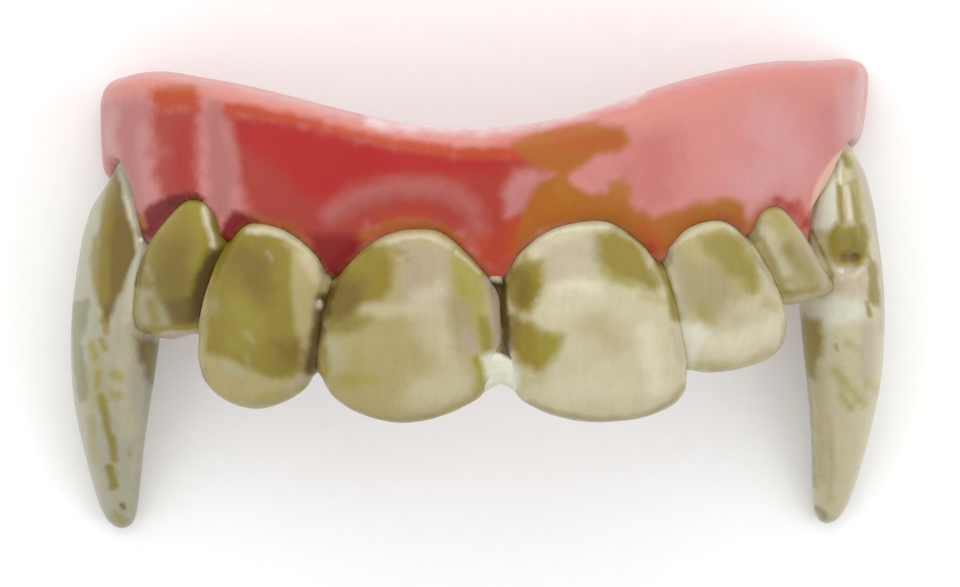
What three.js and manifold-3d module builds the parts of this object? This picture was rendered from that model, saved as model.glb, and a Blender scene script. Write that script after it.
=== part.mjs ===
// A costume vampire denture: a horseshoe of gum that carries six front teeth and two long fangs.
// It lies on its back, as it rests on a table. +Z points away from the wearer's mouth, +Y from the
// tooth edges to the gum's rim, and +X to the right-hand side as seen from the front. The origin is
// the middle of the footprint, on the table. Heights below are along Y, before the finished part
// is centred. All sizes are in millimetres.

import * as THREE from "three";
import Module from "manifold-3d";
import { mergeVertices } from "three/addons/utils/BufferGeometryUtils.js";

const wasm = await Module();
wasm.setup();

// The arch is half an ellipse in plan, drawn on the gum's outer face.
const archHalfWidth = 24.7; // from the midline to the gum's outer face at each end
const archDepth = 19.2; // from the table to the gum's outer face at the front

// The gum.
const rimHeight = 16.6; // highest point of the rim, above the tooth tops' datum
const gumWall = 3.4; // thickness at the rim
const gumBacking = 1.4; // thickness left behind the teeth
const gumSwell = 0.35; // how far the gum swells out over the roots
const rootRidge = 0.25; // height of the ridge over each root
const rimRound = 1.1; // height of the rounded top edge
const hemRound = 0.7; // height of the rounded lower edge
const lipSlope = 0.8; // height of the sloping face under the gum's margin
const lipTuck = 0.85; // how far that face goes in

// The front teeth.
const crownTop = 8.3; // height of the tooth tops
const crownLength = 12.6; // height of a central tooth
const crownThickness = 4.2; // from front to back at the neck
const edgeThickness = 1.9; // from front to back at the biting edge
const crownProud = 0.5; // how far a neck stands out of the gum's face
const crownBelly = 0.5; // how much further the fullest part stands out
const crownRecede = 1.1; // how far the biting edge falls back from the fullest part

// The fangs.
const fangLength = 27.0; // from the top of the root, inside the gum, to the tip
const fangTip = -16.6; // height of the tips
const fangWidth = 8.2; // along the arch, at its widest
const fangThickness = 5.4; // across the arch, at its thickest
const fangTurn = 71; // how far a fang faces away from the front, in degrees
const pitRadius = 1.1; // the dimple in the right fang
const pitDepth = 0.4;

// Gaps.
const contactGap = 0.3; // between neighbouring teeth
const socketGap = 0.3; // between a tooth and the gum around it

// The outline of each front tooth, from left to right. Each row of left and right is an angle on
// the arch from the midline, at the shares of the tooth's height in crownStations, from top to
// edge. rise and length are shares of crownLength, above crownTop and down from the tooth's top.
const crownStations = [0.005, 0.03, 0.08, 0.16, 0.28, 0.42, 0.58, 0.74, 0.86, 0.93, 0.975, 0.995];
const crowns = [
  {
    name: "side_tooth_left",
    rise: 0.043,
    length: 0.79,
    left: [-49.9, -51.4, -53.0, -55.2, -58.2, -60.9, -62.8, -63.9, -64.6, -64.5, -63.6, -62.2],
    right: [-46.4, -45.0, -44.0, -43.3, -42.9, -43.7, -44.8, -45.7, -46.8, -48.5, -52.0, -56.0],
  },
  {
    name: "lateral_incisor_left",
    rise: -0.025,
    length: 0.995,
    left: [-38.2, -39.6, -41.3, -42.9, -44.7, -46.4, -47.8, -48.7, -48.0, -46.0, -43.4, -41.0],
    right: [-32.9, -30.6, -28.2, -25.9, -24.9, -25.5, -26.2, -26.8, -29.0, -32.1, -35.1, -37.0],
  },
  {
    name: "central_incisor_left",
    rise: 0.002,
    length: 1.03,
    left: [-13.6, -16.4, -18.8, -21.2, -24.0, -25.6, -26.3, -26.9, -25.1, -22.3, -18.8, -15.9],
    right: [-8.4, -6.7, -5.0, -2.9, -0.3, 0.5, 0.7, 0.6, -2.2, -5.9, -9.4, -12.5],
  },
  {
    name: "central_incisor_right",
    rise: 0.025,
    length: 1.075,
    left: [10.6, 7.4, 5.0, 2.6, 0.9, 0.7, 0.7, 0.9, 3.4, 7.2, 11.2, 14.6],
    right: [16.6, 18.4, 20.4, 23.0, 25.7, 27.2, 28.4, 29.6, 30.0, 28.3, 25.0, 22.0],
  },
  {
    name: "lateral_incisor_right",
    rise: -0.041,
    length: 0.829,
    left: [31.2, 29.0, 27.2, 26.0, 25.9, 26.3, 27.0, 27.8, 28.6, 29.9, 33.1, 36.6],
    right: [35.6, 37.3, 39.2, 41.4, 43.5, 46.0, 48.7, 50.4, 50.3, 48.9, 46.0, 42.2],
  },
  {
    name: "side_tooth_right",
    rise: -0.029,
    length: 0.58,
    left: [44.6, 43.3, 42.4, 41.9, 42.1, 43.0, 44.8, 46.8, 48.5, 49.6, 51.4, 53.6],
    right: [47.2, 48.3, 49.6, 51.2, 53.3, 55.8, 58.6, 61.6, 64.0, 64.6, 63.6, 61.8],
  },
];

// The gum's course along the arch. rim, lip and hem are the heights of the rim, of the margin on
// the outer face and of the lower edge inside, as shares of rimHeight. foot and top are how far
// the outer face stands off the arch at the lip and at the rim, as shares of gumWall, and seat is
// the thickness at the teeth as a share of what the front teeth need.
const gumCourse = [
  { angle: -90, rim: 0.78, lip: 0.45, hem: 0.4, foot: -0.2, top: -0.16, seat: 1.0 },
  { angle: -84, rim: 0.845, lip: 0.475, hem: 0.37, foot: -0.17, top: -0.14, seat: 1.06 },
  { angle: -77, rim: 0.885, lip: 0.485, hem: 0.33, foot: -0.12, top: -0.12, seat: 1.1 },
  { angle: -70, rim: 0.925, lip: 0.45, hem: 0.28, foot: -0.06, top: -0.1, seat: 1.1 },
  { angle: -65, rim: 0.945, lip: 0.39, hem: 0.23, foot: -0.03, top: -0.09, seat: 1.07 },
  { angle: -61, rim: 0.955, lip: 0.335, hem: 0.2, foot: 0, top: -0.08, seat: 1.03 },
  { angle: -55, rim: 0.96, lip: 0.325, hem: 0.15, foot: 0, top: -0.08, seat: 1.0 },
  { angle: -45, rim: 0.962, lip: 0.325, hem: 0.145, foot: 0, top: -0.08, seat: 1.0 },
  { angle: -35, rim: 0.943, lip: 0.325, hem: 0.145, foot: 0, top: -0.08, seat: 1.0 },
  { angle: -23, rim: 0.898, lip: 0.325, hem: 0.145, foot: 0, top: -0.08, seat: 1.0 },
  { angle: -13, rim: 0.858, lip: 0.325, hem: 0.145, foot: 0, top: -0.08, seat: 1.0 },
  { angle: -3, rim: 0.848, lip: 0.325, hem: 0.145, foot: 0, top: -0.08, seat: 1.0 },
  { angle: 5, rim: 0.857, lip: 0.325, hem: 0.145, foot: 0, top: -0.08, seat: 1.0 },
  { angle: 15, rim: 0.895, lip: 0.325, hem: 0.145, foot: 0, top: -0.06, seat: 1.0 },
  { angle: 25, rim: 0.955, lip: 0.325, hem: 0.145, foot: 0, top: -0.03, seat: 1.0 },
  { angle: 36, rim: 0.992, lip: 0.325, hem: 0.145, foot: 0, top: 0, seat: 1.0 },
  { angle: 48, rim: 1.0, lip: 0.325, hem: 0.15, foot: 0, top: 0.03, seat: 1.0 },
  { angle: 54, rim: 0.99, lip: 0.36, hem: 0.18, foot: 0.01, top: 0.06, seat: 1.03 },
  { angle: 59, rim: 0.975, lip: 0.455, hem: 0.22, foot: 0.03, top: 0.09, seat: 1.07 },
  { angle: 64, rim: 0.955, lip: 0.52, hem: 0.27, foot: 0.05, top: 0.13, seat: 1.1 },
  { angle: 70, rim: 0.935, lip: 0.555, hem: 0.33, foot: 0.07, top: 0.17, seat: 1.12 },
  { angle: 77, rim: 0.908, lip: 0.57, hem: 0.39, foot: 0.09, top: 0.21, seat: 1.12 },
  { angle: 84, rim: 0.88, lip: 0.575, hem: 0.43, foot: 0.1, top: 0.24, seat: 1.06 },
  { angle: 90, rim: 0.855, lip: 0.555, hem: 0.46, foot: 0.1, top: 0.25, seat: 1.0 },
];

// A fang from the top of its root to its tip. along is the share of the way down. across and off
// place its middle, as shares of archHalfWidth from the midline and of archDepth from the table.
// wide and thick are shares of fangWidth and fangThickness.
const fangSections = [
  { along: 0.0, across: 0.88, off: 0.28, wide: 0.34, thick: 0.38 },
  { along: 0.02, across: 0.882, off: 0.279, wide: 0.44, thick: 0.46 },
  { along: 0.09, across: 0.893, off: 0.275, wide: 0.66, thick: 0.66 },
  { along: 0.16, across: 0.913, off: 0.27, wide: 0.89, thick: 0.86 },
  { along: 0.28, across: 0.928, off: 0.262, wide: 1.0, thick: 0.97 },
  { along: 0.4, across: 0.945, off: 0.252, wide: 0.95, thick: 1.0 },
  { along: 0.53, across: 0.956, off: 0.235, wide: 0.85, thick: 0.96 },
  { along: 0.65, across: 0.962, off: 0.203, wide: 0.73, thick: 0.855 },
  { along: 0.75, across: 0.96, off: 0.165, wide: 0.59, thick: 0.72 },
  { along: 0.86, across: 0.953, off: 0.115, wide: 0.43, thick: 0.575 },
  { along: 0.92, across: 0.948, off: 0.079, wide: 0.34, thick: 0.48 },
  { along: 0.965, across: 0.943, off: 0.056, wide: 0.25, thick: 0.37 },
  { along: 0.99, across: 0.939, off: 0.041, wide: 0.16, thick: 0.24 },
  { along: 1.0, across: 0.937, off: 0.036, wide: 0.06, thick: 0.1 },
];
const fangs = [
  { name: "fang_left", side: -1, stretch: 0.97, reach: 0.985 },
  { name: "fang_right", side: 1, stretch: 1.065, reach: 1.025 },
];
// The dimple's middle: its share of the way down the fang, and its share of fangWidth from the
// fang's middle, towards the front teeth.
const pit = { fang: "fang_right", along: 0.32, towardFront: 0.345 };

// How finely the surfaces are divided.
const crownAround = 26;
const fangAround = 22;
const fangRows = 20;
const gumStations = 60;
const gumFaceSteps = 6;
const gumRimSteps = 5;
const ballAround = 48;
const mergeWithin = 1e-4;

const degrees = Math.PI / 180;

// A smooth value between the rows of a table, read by the named columns.
function between(rows, key, at, column) {
  if (at <= rows[0][key]) return rows[0][column];
  if (at >= rows.at(-1)[key]) return rows.at(-1)[column];
  const i = rows.findIndex((row) => row[key] >= at) - 1;
  const [low, high] = [rows[i], rows[i + 1]];
  const [before, after] = [rows[i - 1] ?? low, rows[i + 2] ?? high];
  const span = high[key] - low[key];
  const share = (at - low[key]) / span;
  const slopeLow = ((high[column] - before[column]) / (high[key] - before[key])) * span;
  const slopeHigh = ((after[column] - low[column]) / (after[key] - low[key])) * span;
  const s2 = share * share;
  const s3 = s2 * share;
  return (
    (2 * s3 - 3 * s2 + 1) * low[column] +
    (s3 - 2 * s2 + share) * slopeLow +
    (3 * s2 - 2 * s3) * high[column] +
    (s3 - s2) * slopeHigh
  );
}

const lerp = THREE.MathUtils.lerp;

// The point of the arch at an angle, moved out of the gum's face by some millimetres.
function archPoint(angle, out = 0, height = 0) {
  const normal = archNormal(angle);
  return new THREE.Vector3(
    archHalfWidth * Math.sin(angle * degrees) + out * normal.x,
    height,
    archDepth * Math.cos(angle * degrees) + out * normal.z,
  );
}

function archNormal(angle) {
  const a = angle * degrees;
  return new THREE.Vector3(archDepth * Math.sin(a), 0, archHalfWidth * Math.cos(a)).normalize();
}

// A tooth's own axes on the arch: x along the arch, y up to the rim, z out of the gum's face.
function archFrame(angle) {
  const normal = archNormal(angle);
  const up = new THREE.Vector3(0, 1, 0);
  const along = new THREE.Vector3().crossVectors(up, normal);
  return new THREE.Matrix4().makeBasis(along, up, normal).setPosition(archPoint(angle));
}

// A closed body through rings of points that all go round the same way. Each end is closed by a
// fan of faces to a point.
function loft(rings, firstPole, lastPole) {
  const around = rings[0].length;
  const points = [...rings.flat(), firstPole, lastPole];
  const [first, last] = [points.length - 2, points.length - 1];
  const lastRow = (rings.length - 1) * around;
  const faces = [];
  for (let i = 0; i < around; i++) {
    const j = (i + 1) % around;
    faces.push(j, i, first, lastRow + i, lastRow + j, last);
    for (let row = 0; row < lastRow; row += around)
      faces.push(row + i, row + j, row + j + around, row + i, row + j + around, row + i + around);
  }
  const geometry = new THREE.BufferGeometry();
  const positions = points.flatMap((p) => [p.x, p.y, p.z]);
  geometry.setAttribute("position", new THREE.Float32BufferAttribute(positions, 3));
  geometry.setIndex(faces);
  return geometry;
}

// The solid that a geometry bounds, whichever way its faces run, and the geometry of a solid.
function solidOf(geometry) {
  const positions = geometry.clone().deleteAttribute("normal").deleteAttribute("uv");
  const merged = mergeVertices(positions, mergeWithin);
  const solid = new wasm.Manifold(
    new wasm.Mesh({
      numProp: 3,
      vertProperties: new Float32Array(merged.attributes.position.array),
      triVerts: new Uint32Array(merged.index.array),
    }),
  );
  if (solid.volume() > 0) return solid;
  merged.index.array.reverse();
  return solidOf(merged);
}

function geometryOf(solid) {
  const { vertProperties, triVerts, numProp } = solid.getMesh();
  const geometry = new THREE.BufferGeometry();
  const positions = new Float32Array((vertProperties.length / numProp) * 3);
  for (let i = 0; i * numProp < vertProperties.length; i++)
    positions.set(vertProperties.subarray(i * numProp, i * numProp + 3), i * 3);
  geometry.setAttribute("position", new THREE.BufferAttribute(positions, 3));
  geometry.setIndex(new THREE.BufferAttribute(new Uint32Array(triVerts), 1));
  geometry.computeVertexNormals();
  return geometry;
}

// A rounded oblong ring. squareness 2 is an ellipse, and more is squarer.
function ovalRing(centre, halfWidth, halfThickness, squareness, count) {
  const power = 2 / squareness;
  return Array.from({ length: count }, (_, i) => {
    const turn = (i / count) * 2 * Math.PI;
    const [c, s] = [Math.cos(turn), Math.sin(turn)];
    return new THREE.Vector3(
      centre.x + halfWidth * Math.sign(c) * Math.abs(c) ** power,
      centre.y,
      centre.z + halfThickness * Math.sign(s) * Math.abs(s) ** power,
    );
  });
}

// How far an end that is rounded off has filled out, from 0 at its tip to 1 past the rounding.
function roundOff(share, rounding, squareness) {
  if (share >= rounding) return 1;
  return (1 - (1 - share / rounding) ** squareness) ** (1 / squareness);
}

// A front tooth. grow makes it larger all round, to cut room for it.
function crownGeometry(crown, grow = 0) {
  const top = crownTop + crown.rise * crownLength;
  const length = crown.length * crownLength;
  const middleStation = crownStations.length / 2;
  const frame = archFrame((crown.left[middleStation] + crown.right[middleStation]) / 2);
  const toLocal = frame.clone().invert();
  const along = (angle) => archPoint(angle).applyMatrix4(toLocal).x;
  const topRounding = 0.09;
  const edgeRounding = 0.1;
  const fullestAt = 0.35;
  const sunkTop = -0.2; // the very top of the front face lies this far under the gum's face
  const ringSquareness = 2.9;
  const rings = crownStations.map((share, i) => {
    const [left, right] = [along(crown.left[i]), along(crown.right[i])];
    const half = (right - left - contactGap) / 2;
    const filledTop = roundOff(share, topRounding, 2);
    const filledEdge = roundOff(1 - share, edgeRounding, 2.4);
    const full = lerp(crownThickness, edgeThickness, share ** 1.3);
    const thickness = full * filledTop * filledEdge;
    const fall = crownRecede * ((share - fullestAt) / (1 - fullestAt)) ** 2;
    const rise = Math.min(1, share / fullestAt);
    const bulge = crownProud + crownBelly * rise * (2 - rise) - (share > fullestAt ? fall : 0);
    const front = lerp(sunkTop, bulge, filledTop) - (full / 2) * (1 - filledEdge);
    const y = top - share * length + grow * (1 - 2 * share);
    const centre = new THREE.Vector3((left + right) / 2, y, front - thickness / 2);
    return ovalRing(centre, half + grow, thickness / 2 + grow, ringSquareness, crownAround);
  });
  const topPole = middleOf(rings[0]).setY(top + grow);
  const edgePole = middleOf(rings.at(-1)).setY(top - length - grow);
  return loft(rings, topPole, edgePole).applyMatrix4(frame);
}

function middleOf(points) {
  return points.reduce((sum, p) => sum.add(p), new THREE.Vector3()).divideScalar(points.length);
}

// The place of a fang's middle, a share of the way down.
function fangMiddle(fang, share) {
  return new THREE.Vector3(
    fang.side * archHalfWidth * between(fangSections, "along", share, "across"),
    fangTip * fang.reach + (1 - share) * fangLength * fang.stretch,
    archDepth * between(fangSections, "along", share, "off"),
  );
}

// A fang. Its rows lie closer together towards the tip.
function fangGeometry(fang, grow = 0) {
  const turn = new THREE.Matrix4().makeRotationY(fang.side * fangTurn * degrees);
  const squareness = 2.15;
  const rings = [];
  for (let i = 0; i <= fangRows; i++) {
    const share = 1 - (1 - i / fangRows) ** 1.5;
    const halfWidth = (fangWidth * between(fangSections, "along", share, "wide")) / 2;
    const halfThickness = (fangThickness * between(fangSections, "along", share, "thick")) / 2;
    const middle = fangMiddle(fang, share).add(new THREE.Vector3(0, grow * (1 - 2 * share), 0));
    const centre = new THREE.Vector3();
    const ring = ovalRing(centre, halfWidth + grow, halfThickness + grow, squareness, fangAround);
    rings.push(ring.map((p) => p.applyMatrix4(turn).add(middle)));
  }
  return loft(rings, middleOf(rings[0]), middleOf(rings.at(-1)));
}

// A ball that sinks the dimple into a fang's outer face.
function pitSolid(fang) {
  const ballRadius = (pitRadius ** 2 + pitDepth ** 2) / (2 * pitDepth);
  const halfWidth = (fangWidth * between(fangSections, "along", pit.along, "wide")) / 2;
  const halfThickness = (fangThickness * between(fangSections, "along", pit.along, "thick")) / 2;
  const x = -fang.side * fangWidth * pit.towardFront;
  const surface = new THREE.Vector3(x, 0, halfThickness * Math.sqrt(1 - (x / halfWidth) ** 2));
  const outward = new THREE.Vector3(x / halfWidth ** 2, 0, surface.z / halfThickness ** 2).normalize();
  const place = surface.addScaledVector(outward, ballRadius - pitDepth);
  place.applyMatrix4(new THREE.Matrix4().makeRotationY(fang.side * fangTurn * degrees));
  place.add(fangMiddle(fang, pit.along));
  const ball = new THREE.SphereGeometry(ballRadius, ballAround, ballAround / 2);
  return solidOf(ball.translate(place.x, place.y, place.z));
}

// The gum's cross-section at an angle on the arch, as points out of the arch and up.
function gumSection(angle) {
  const at = (column) => between(gumCourse, "angle", angle, column);
  const [rim, lip, hem] = [rimHeight * at("rim"), rimHeight * at("lip"), rimHeight * at("hem")];
  const seat = (crownThickness - crownProud - crownBelly + socketGap + gumBacking) * at("seat");
  const swell = gumSwell * (1 - (angle / 90) ** 4) + rootRidge * rootShare(angle);
  const outer = (y) => {
    const up = (y - lip) / (rim - lip);
    return gumWall * lerp(at("foot"), at("top"), up) + swell * Math.sin(Math.PI * Math.min(1, up * 1.15));
  };
  const inner = (y) => {
    const up = (y - hem) / (rim - hem);
    const thickness = lerp(seat, gumWall, THREE.MathUtils.smoothstep(up, 0.45, 0.9));
    return gumWall * lerp(at("foot"), at("top"), up) - thickness;
  };
  const section = [];
  for (let i = 0; i <= gumFaceSteps; i++) {
    const y = lerp(lip, rim - rimRound, i / gumFaceSteps);
    section.push([outer(y), y]);
  }
  const [front, back] = [outer(rim - rimRound), inner(rim - rimRound)];
  for (let i = 1; i < gumRimSteps; i++) {
    const turn = (i / gumRimSteps) * Math.PI;
    const across = Math.sign(Math.cos(turn)) * Math.abs(Math.cos(turn)) ** 0.8;
    const out = (front + back) / 2 + ((front - back) / 2) * across;
    section.push([out, rim - rimRound * (1 - Math.sin(turn) ** 0.8)]);
  }
  for (let i = gumFaceSteps; i >= 0; i--) {
    const y = lerp(hem + hemRound, rim - rimRound, i / gumFaceSteps);
    section.push([inner(y), y]);
  }
  const tuck = outer(lip) - lipTuck;
  section.push([inner(hem) + hemRound, hem], [tuck - hemRound, hem], [tuck, lip - lipSlope]);
  return section;
}

// How strongly a root shows in the gum at an angle, from 0 between teeth to 1 over a root.
function rootShare(angle) {
  const widest = Math.floor(crownStations.length / 3);
  for (const crown of crowns) {
    const share = (angle - crown.left[widest]) / (crown.right[widest] - crown.left[widest]);
    if (share > 0 && share < 1) return Math.sin(share * Math.PI) ** 2;
  }
  return 0;
}

function gumGeometry() {
  const rings = [];
  for (let i = 0; i <= gumStations; i++) {
    const angle = lerp(-90, 90, i / gumStations);
    rings.push(gumSection(angle).map(([out, y]) => archPoint(angle, out, y)));
  }
  return loft(rings, middleOf(rings[0]), middleOf(rings.at(-1)));
}

const materials = {
  gum: new THREE.MeshStandardMaterial({ color: 0xc0524a, roughness: 0.35, metalness: 0 }),
  tooth: new THREE.MeshStandardMaterial({ color: 0xb5a877, roughness: 0.32, metalness: 0 }),
  fang: new THREE.MeshStandardMaterial({ color: 0xb9b08c, roughness: 0.32, metalness: 0 }),
};

function named(name, solid, material) {
  const mesh = new THREE.Mesh(geometryOf(solid), material);
  mesh.name = name;
  return mesh;
}

// Each tooth as a solid, with the larger ones that cut the room it needs in the gum and beside it.
const besideShare = 0.85; // a little under the whole gap, so that the cut never grazes a neighbour
const teeth = new Map();
for (const crown of crowns)
  teeth.set(crown.name, {
    body: solidOf(crownGeometry(crown)),
    beside: solidOf(crownGeometry(crown, contactGap * besideShare)),
    socket: solidOf(crownGeometry(crown, socketGap)),
    material: materials.tooth,
  });
for (const fang of fangs) {
  const whole = solidOf(fangGeometry(fang));
  teeth.set(fang.name, {
    body: fang.name === pit.fang ? whole.subtract(pitSolid(fang)) : whole,
    socket: solidOf(fangGeometry(fang, socketGap)),
    material: materials.fang,
  });
}

// Where two neighbours would overlap, the first named here keeps its form.
const overlaps = [
  ["central_incisor_left", "lateral_incisor_left"],
  ["central_incisor_right", "lateral_incisor_right"],
  ["lateral_incisor_left", "side_tooth_left"],
  ["lateral_incisor_right", "side_tooth_right"],
  ["side_tooth_left", "fang_left"],
  ["side_tooth_right", "fang_right"],
];
for (const [kept, cut] of overlaps) {
  const tooth = teeth.get(cut);
  tooth.body = tooth.body.subtract(teeth.get(kept).beside);
}

let gum = solidOf(gumGeometry());
for (const tooth of teeth.values()) gum = gum.subtract(tooth.socket);

// The finished part is centred over the origin and lowered to the table.
const pieces = [{ name: "gum_base", body: gum, material: materials.gum }];
for (const [name, tooth] of teeth) pieces.push({ name, body: tooth.body, material: tooth.material });
const extent = new THREE.Box3();
for (const piece of pieces) {
  const { min, max } = piece.body.boundingBox();
  extent.expandByPoint(new THREE.Vector3(...min)).expandByPoint(new THREE.Vector3(...max));
}
const middle = extent.getCenter(new THREE.Vector3());
const denture = new THREE.Group();
for (const piece of pieces) {
  const placed = piece.body.translate([-middle.x, -middle.y, -extent.min.z]);
  denture.add(named(piece.name, placed, piece.material));
}

export default denture;
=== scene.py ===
import math

import bpy
import numpy as np
from bpy.props import FloatProperty, FloatVectorProperty, IntProperty, PointerProperty
from mathutils import Matrix, Vector, noise
from mathutils.bvhtree import BVHTree


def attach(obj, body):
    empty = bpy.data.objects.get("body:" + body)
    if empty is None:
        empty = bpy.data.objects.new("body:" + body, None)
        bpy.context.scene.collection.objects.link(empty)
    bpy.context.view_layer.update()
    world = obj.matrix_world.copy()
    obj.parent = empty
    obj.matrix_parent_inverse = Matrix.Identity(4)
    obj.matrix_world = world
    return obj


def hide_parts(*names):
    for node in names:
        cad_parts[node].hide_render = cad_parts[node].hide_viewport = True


bl_info = {
    "name": "Vampire fang denture",
    "version": (1, 0, 0),
    "blender": (4, 5, 0),
    "location": "3D View > Sidebar > Denture",
    "description": "Dresses the denture's CAD solids with stained, varnished acrylic",
    "category": "Object",
}

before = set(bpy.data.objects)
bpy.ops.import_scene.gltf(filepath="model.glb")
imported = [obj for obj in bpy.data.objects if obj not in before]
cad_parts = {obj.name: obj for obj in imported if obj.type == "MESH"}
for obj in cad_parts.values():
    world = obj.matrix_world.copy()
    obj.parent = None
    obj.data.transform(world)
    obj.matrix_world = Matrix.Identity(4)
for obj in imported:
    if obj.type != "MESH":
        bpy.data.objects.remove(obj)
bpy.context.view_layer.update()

MM = 0.001
MERGE = 1e-6  # metres between vertices that are one
SHORTEST = 1e-9  # the least square of a stroke's length, so that a dot divides by no 0
SEARCH = 2 * MM  # how far away a neighbour's surface is looked for
# How far behind the surface that the charts show their marks begin to fade, and end.
FADES_BEHIND = (0.5 * MM, 1.6 * MM)
# Uneven paint: the size of its lumps in millimetres, their weight and their seed.
RAGGED_LUMPS = ((0.9, 1.0, 1), (0.35, 0.5, 2))
WASH_LUMPS = ((2.6, 1.0, 3), (0.8, 0.4, 4))
WASH_EDGE = (-0.1, 0.5)  # between which values one wash turns into the other
RAGGED_SHARE = 0.35  # how far a mark's edge wanders, as a share of its softness
RAGGED_LEAST = 0.04  # and what is added to that, in millimetres
SEAM_STAIN = 0.4  # the most umber in a seam
SEAM_UNEVEN = 0.4  # how much of that comes and goes
SEAM_MOST = 1.2  # how many times the stain may grow where it is thickest
SPECKS = 0.03  # how much lighter or darker a speck of pigment is
GLOSS_SWING = 0.06  # how much rougher or smoother the varnish is from place to place
SEED_STEPS = (7.31, 3.17, 5.77)  # from one seed's part of the noise to the next

# The view that the brush marks are charted in: where it is aimed, in metres, and how far it
# stands above the row frame's upright view and to the left of it.
AIM = Vector((0.0, 1.8, 10.0)) * MM
VIEW_RISE = math.radians(15.0)
VIEW_SIDE = math.radians(4.0)
VIEW_DISTANCE = 400 * MM
SINE, COSINE, LEVEL = math.sin(VIEW_SIDE), math.cos(VIEW_SIDE), math.cos(VIEW_RISE)
TO_VIEWER = Vector((-SINE * LEVEL, math.sin(VIEW_RISE), COSINE * LEVEL))
RIGHTWARD = Vector((COSINE, 0.0, SINE))
UPWARD = TO_VIEWER.cross(RIGHTWARD)
EYE = AIM + TO_VIEWER * VIEW_DISTANCE


def linear(hex_colour):
    """An sRGB hex colour as the linear red, green and blue that a shader takes."""
    parts = (int(hex_colour[i : i + 2], 16) / 255 for i in (1, 3, 5))
    return tuple(c / 12.92 if c <= 0.04045 else ((c + 0.055) / 1.055) ** 2.4 for c in parts)


def pigment(label, where, hex_colour):
    """A colour that a user can change."""
    start = linear(hex_colour)
    return FloatVectorProperty(
        name=label, description=where, subtype="COLOR", size=3, min=0, max=1, default=start
    )


def length(label, where, millimetres):
    """A length that a user can change."""
    return FloatProperty(name=label, description=where, unit="LENGTH", default=millimetres * MM)


class DenturePaints(bpy.types.PropertyGroup):
    """The colours that the denture is cast in and brushed with, and the painted highlights, sheen
    and shade brushed among them.
    """

    # Ivory, bone and fawn also serve for small painted highlights and a painted reflection, noted
    # where they stand in the charts.
    ivory: pigment("Ivory", "Bare tooth acrylic", "#b7af8f")
    bone: pigment("Bone", "Tooth acrylic under a thin wash", "#a19364")
    # Cream is partly stain wiped off the ridges and partly painted highlight where light catches
    # ridges, bulges and flanks.
    cream: pigment("Cream", "Ridges where the stain was wiped off", "#c9c2a9")
    chalk: pigment("Chalk", "Thin, cold white acrylic between teeth", "#cac8b6")
    fawn: pigment("Fawn", "Pinkish beige patches", "#a59582")
    ash: pigment("Ash", "The left fang's grey ivory", "#a09c85")
    slate: pigment("Slate", "Grey shadowed acrylic", "#828060")
    # Drab is mostly painted shade: along the biting edges, which turn away from the light, and over
    # shaded hollows of the faces.
    drab: pigment("Drab", "Thin brown along the biting edges", "#8d805b")
    moss: pigment("Moss", "Yellow olive stain", "#8f862f")
    olive: pigment("Olive", "Olive stain", "#827222")
    umber: pigment("Umber", "Brown stain", "#685316")
    bark: pigment("Bark", "Dark stain in the grooves", "#4c3605")
    pink: pigment("Pink", "The gum's own acrylic", "#bf7974")
    # Petal also paints the rim's top, paler where light from above falls on it, and painted
    # highlights on bulges of the gum.
    petal: pigment("Petal", "Pale pink of the rim", "#c08f8e")
    salmon: pigment("Salmon", "Warm pink under the rim", "#c17d71")
    # Mauve streaks are partly the gum's dull pink and partly painted highlights on its bulges.
    mauve: pigment("Mauve", "Dull pink streaks", "#a3635f")
    rose: pigment("Rose", "Rose pink", "#aa5550")
    red: pigment("Red", "The brightest red of the gum", "#9f1613")
    brick: pigment("Brick", "Brick red of the gum", "#993125")
    ember: pigment("Ember", "Orange red", "#a83b15")
    amber: pigment("Amber", "Orange brown along the margins", "#9a560c")
    ochre: pigment("Ochre", "Yellow brown spots", "#9f6819")
    # Wine and clot in the recesses between gum and teeth are partly the gum's deep red and partly
    # painted shade.
    wine: pigment("Wine", "Dark red between the teeth", "#780606")
    clot: pigment("Clot", "Darkest red", "#4a0707")
    pith: pigment("Pith", "Bare cut edge beside the right fang", "#d0a28e")
    # Film is a painted sheen: the whitish glare of light grazing the rim's glossy top.
    film: pigment("Film", "Thin whitish top of the rim", "#d7c8c7")


class DentureSizes(bpy.types.PropertyGroup):
    """The sizes that shape the pieces."""

    tooth_grain: length("Tooth grain", "Edge of a tooth's mesh faces", 0.11)
    gum_grain: length("Gum grain", "Edge of the gum's mesh faces", 0.18)
    tooth_rounds: IntProperty(
        name="Tooth smoothing", description="Rounds of smoothing over a tooth", min=0, default=86
    )
    gum_rounds: IntProperty(
        name="Gum smoothing", description="Rounds of smoothing over the gum", min=0, default=44
    )
    contact_reach: length(
        "Contact reach", "How near a neighbour must be for two teeth to be drawn together", 0.75
    )
    margin_reach: length("Margin reach", "How near a tooth the gum is drawn up against it", 0.8)
    bite: length("Bite", "How far pieces that touch run into each other", 0.05)


def select_only(piece):
    """Selects a piece and makes it the active one."""
    bpy.ops.object.select_all(action="DESELECT")
    piece.select_set(True)
    bpy.context.view_layer.objects.active = piece


def modify(piece, kind, **settings):
    """Adds a modifier and applies it."""
    select_only(piece)
    modifier = piece.modifiers.new(kind.title(), kind)
    for key, value in settings.items():
        setattr(modifier, key, value)
    bpy.ops.object.modifier_apply(modifier=modifier.name)


def edit(piece, operator, **settings):
    """Runs an edit mode operator on the whole mesh."""
    select_only(piece)
    bpy.ops.object.mode_set(mode="EDIT")
    bpy.ops.mesh.select_all(action="SELECT")
    operator(**settings)
    bpy.ops.object.mode_set(mode="OBJECT")


def sight(across, up):
    """The ray from the eye to a place of the charts."""
    return (RIGHTWARD * across + UPWARD * up) * MM - TO_VIEWER * VIEW_DISTANCE


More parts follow.
